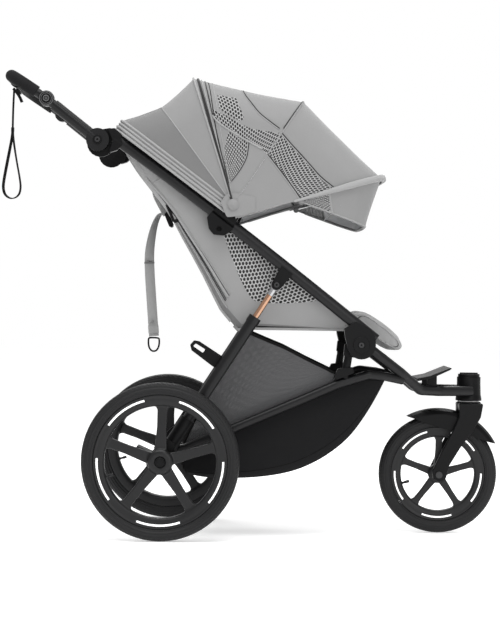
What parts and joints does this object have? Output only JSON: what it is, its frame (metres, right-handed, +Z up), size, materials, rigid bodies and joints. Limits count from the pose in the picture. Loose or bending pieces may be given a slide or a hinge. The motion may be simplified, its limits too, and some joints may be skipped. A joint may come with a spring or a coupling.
{
  "type": "jogging stroller",
  "caption": "Three-wheel folding jogging stroller with a reclining padded seat, fan canopy with visor, under-seat basket, sprung rear wheels and a swivel front wheel.",
  "frame": {"origin": "on the floor, at the centre of the bounding footprint", "axes": "+X forward (direction of travel), +Y to the left of the child in the seat, +Z up"},
  "size_m": [1.2586, 0.604, 1.1449],
  "materials": {
    "frame_black": "satin",
    "moulded_black": "matte",
    "steel": "satin",
    "copper": "satin",
    "fabric_grey": "woven",
    "webbing_grey": "woven",
    "webbing_black": "woven",
    "fabric_black": "woven",
    "mesh_grey": "open mesh",
    "tyre_black": "matte",
    "rim_black": "satin",
    "reflector": "satin",
    "foam_black": "matte",
    "pedal": "matte"
  },
  "bodies": {
    "chassis": {"side_tubes": "frame_black", "head_housing": "moulded_black", "front_frame": "frame_black", "lower_stays": "frame_black", "fold_housings": "moulded_black", "footrest": "moulded_black", "tube_brackets": "moulded_black", "handle_shells": "moulded_black", "frame_bolts": "steel", "seat_pan": "moulded_black", "seat_cushion": "fabric_grey", "harness": "webbing_black", "side_panels": "fabric_grey", "basket_tub": "fabric_black", "basket_mesh": "mesh_grey", "canopy_rear_panel": "fabric_grey", "canopy_bow_rear": "frame_black", "canopy_mid_panel": "fabric_grey"},
    "struts": {"damper_rods": "steel", "damper_sleeves": "copper"},
    "rear": {"axle_housings": "moulded_black", "rear_frame": "frame_black", "suspension_springs": "steel"},
    "brake": {"brake_pedal": "pedal"},
    "latch": {"fold_latch": "moulded_black"},
    "wheel_left": {"rear_tyre_left": "tyre_black", "rear_rim_left": "rim_black", "rear_reflectors_left": "reflector", "rear_axle_left": "steel"},
    "wheel_right": {"rear_tyre_right": "tyre_black", "rear_rim_right": "rim_black", "rear_reflectors_right": "reflector", "rear_axle_right": "steel"},
    "hub_left": {"hub_button_left": "moulded_black"},
    "hub_right": {"hub_button_right": "moulded_black"},
    "fork": {"front_fork": "moulded_black", "steering_stem": "steel", "front_fender": "moulded_black", "front_axle": "steel"},
    "front_wheel": {"front_tyre": "tyre_black", "front_rim": "rim_black", "front_reflectors": "reflector"},
    "knob": {"swivel_knob": "moulded_black"},
    "handle_lower": {"handle_arms": "frame_black"},
    "handle_upper": {"handle_bar": "frame_black", "handle_grip": "foam_black"},
    "button_left": {"handle_button_left": "moulded_black"},
    "button_right": {"handle_button_right": "moulded_black"},
    "wrist": {"wrist_strap": "webbing_black"},
    "backrest": {"backrest_board": "moulded_black", "backrest_cushion": "fabric_grey", "shoulder_straps": "webbing_black"},
    "recline_tail": {"recline_strap": "webbing_grey", "recline_hardware": "moulded_black"},
    "calf_rest": {"leg_rest": "fabric_grey"},
    "canopy_mid": {"canopy_bow_mid": "frame_black", "canopy_front_panel": "fabric_grey"},
    "canopy_front": {"canopy_bow_front": "frame_black", "visor_panel": "fabric_grey"},
    "visor": {"visor_rim": "frame_black"}
  },
  "joints": [
    {"name": "rear_fold", "type": "hinge", "parent": "chassis", "child": "struts", "pos_m": [0.0591, 0, 0.6232], "axis": [0, -1, 0], "range_deg": [0, 58]},
    {"name": "suspension", "type": "slide", "parent": "struts", "child": "rear", "axis": [0.5392, 0, 0.8422], "range_m": [0, 0.02], "deforming": ["suspension_springs"]},
    {"name": "brake_press", "type": "hinge", "parent": "rear", "child": "brake", "pos_m": [-0.237, 0, 0.182], "axis": [0, -1, 0], "range_deg": [0, 18]},
    {"name": "latch_swing", "type": "hinge", "parent": "rear", "child": "latch", "pos_m": [-0.065, 0, 0.429], "axis": [0, 1, 0], "range_deg": [0, 30]},
    {"name": "rear_wheel_left_spin", "type": "hinge", "parent": "rear", "child": "wheel_left", "pos_m": [-0.217, 0.28, 0.192], "axis": [0, 1, 0], "continuous": true},
    {"name": "rear_wheel_right_spin", "type": "hinge", "parent": "rear", "child": "wheel_right", "pos_m": [-0.217, -0.28, 0.192], "axis": [0, 1, 0], "continuous": true},
    {"name": "hub_button_left_press", "type": "slide", "parent": "wheel_left", "child": "hub_left", "axis": [0, -1, 0], "range_m": [0, 0.003]},
    {"name": "hub_button_right_press", "type": "slide", "parent": "wheel_right", "child": "hub_right", "axis": [0, 1, 0], "range_m": [0, 0.003]},
    {"name": "front_swivel", "type": "hinge", "parent": "chassis", "child": "fork", "pos_m": [0.5557, 0, 0.336], "axis": [0, 0, 1], "continuous": true},
    {"name": "front_wheel_spin", "type": "hinge", "parent": "fork", "child": "front_wheel", "pos_m": [0.4787, 0, 0.15], "axis": [0, 1, 0], "continuous": true},
    {"name": "swivel_lock_turn", "type": "hinge", "parent": "chassis", "child": "knob", "pos_m": [0.5557, 0, 0.4], "axis": [0, 0, 1], "range_deg": [0, 90]},
    {"name": "handle_fold", "type": "hinge", "parent": "chassis", "child": "handle_lower", "pos_m": [-0.3822, 0, 0.9719], "axis": [0, 1, 0], "range_deg": [-95, 0]},
    {"name": "handle_height", "type": "hinge", "parent": "handle_lower", "child": "handle_upper", "pos_m": [-0.5084, 0, 1.0705], "axis": [0, -1, 0], "range_deg": [-50, 40]},
    {"name": "handle_button_left_press", "type": "slide", "parent": "handle_lower", "child": "button_left", "axis": [0, -1, 0], "range_m": [0, 0.002]},
    {"name": "handle_button_right_press", "type": "slide", "parent": "handle_lower", "child": "button_right", "axis": [0, 1, 0], "range_m": [0, 0.002]},
    {"name": "wrist_swing", "type": "hinge", "parent": "handle_upper", "child": "wrist", "pos_m": [-0.59981, 0, 1.12987], "axis": [0, -1, 0], "range_deg": [-95, 0]},
    {"name": "seat_recline", "type": "hinge", "parent": "chassis", "child": "backrest", "pos_m": [-0.022, 0, 0.525], "axis": [0, -1, 0], "range_deg": [0, 30], "deforming": ["side_panels"]},
    {"name": "tail_swing", "type": "hinge", "parent": "backrest", "child": "recline_tail", "pos_m": [-0.2275, 0, 0.801], "axis": [0, -1, 0], "range_deg": [-30, 0]},
    {"name": "calf_rest_tilt", "type": "hinge", "parent": "chassis", "child": "calf_rest", "pos_m": [0.241, 0, 0.545], "axis": [0, -1, 0], "range_deg": [0, 20]},
    {"name": "canopy_mid_turn", "type": "hinge", "parent": "chassis", "child": "canopy_mid", "pos_m": [-0.0498, 0, 0.8166], "axis": [0, -1, 0], "range_deg": [0, 43], "deforming": ["canopy_mid_panel"]},
    {"name": "canopy_front_turn", "type": "hinge", "parent": "canopy_mid", "child": "canopy_front", "pos_m": [-0.0498, 0, 0.8166], "axis": [0, -1, 0], "range_deg": [0, 31], "deforming": ["canopy_front_panel"]},
    {"name": "visor_flip", "type": "hinge", "parent": "canopy_front", "child": "visor", "pos_m": [0.116, 0, 0.826], "axis": [0, -1, 0], "range_deg": [0, 30], "deforming": ["visor_panel"]}
  ],
  "couplings": [
    {"joint": "wrist_swing", "follows": "handle_fold", "ratio": 1},
    {"joint": "tail_swing", "follows": "seat_recline", "ratio": -1},
    {"joint": "canopy_front_turn", "follows": "canopy_mid_turn", "ratio": 0.72}
  ]
}
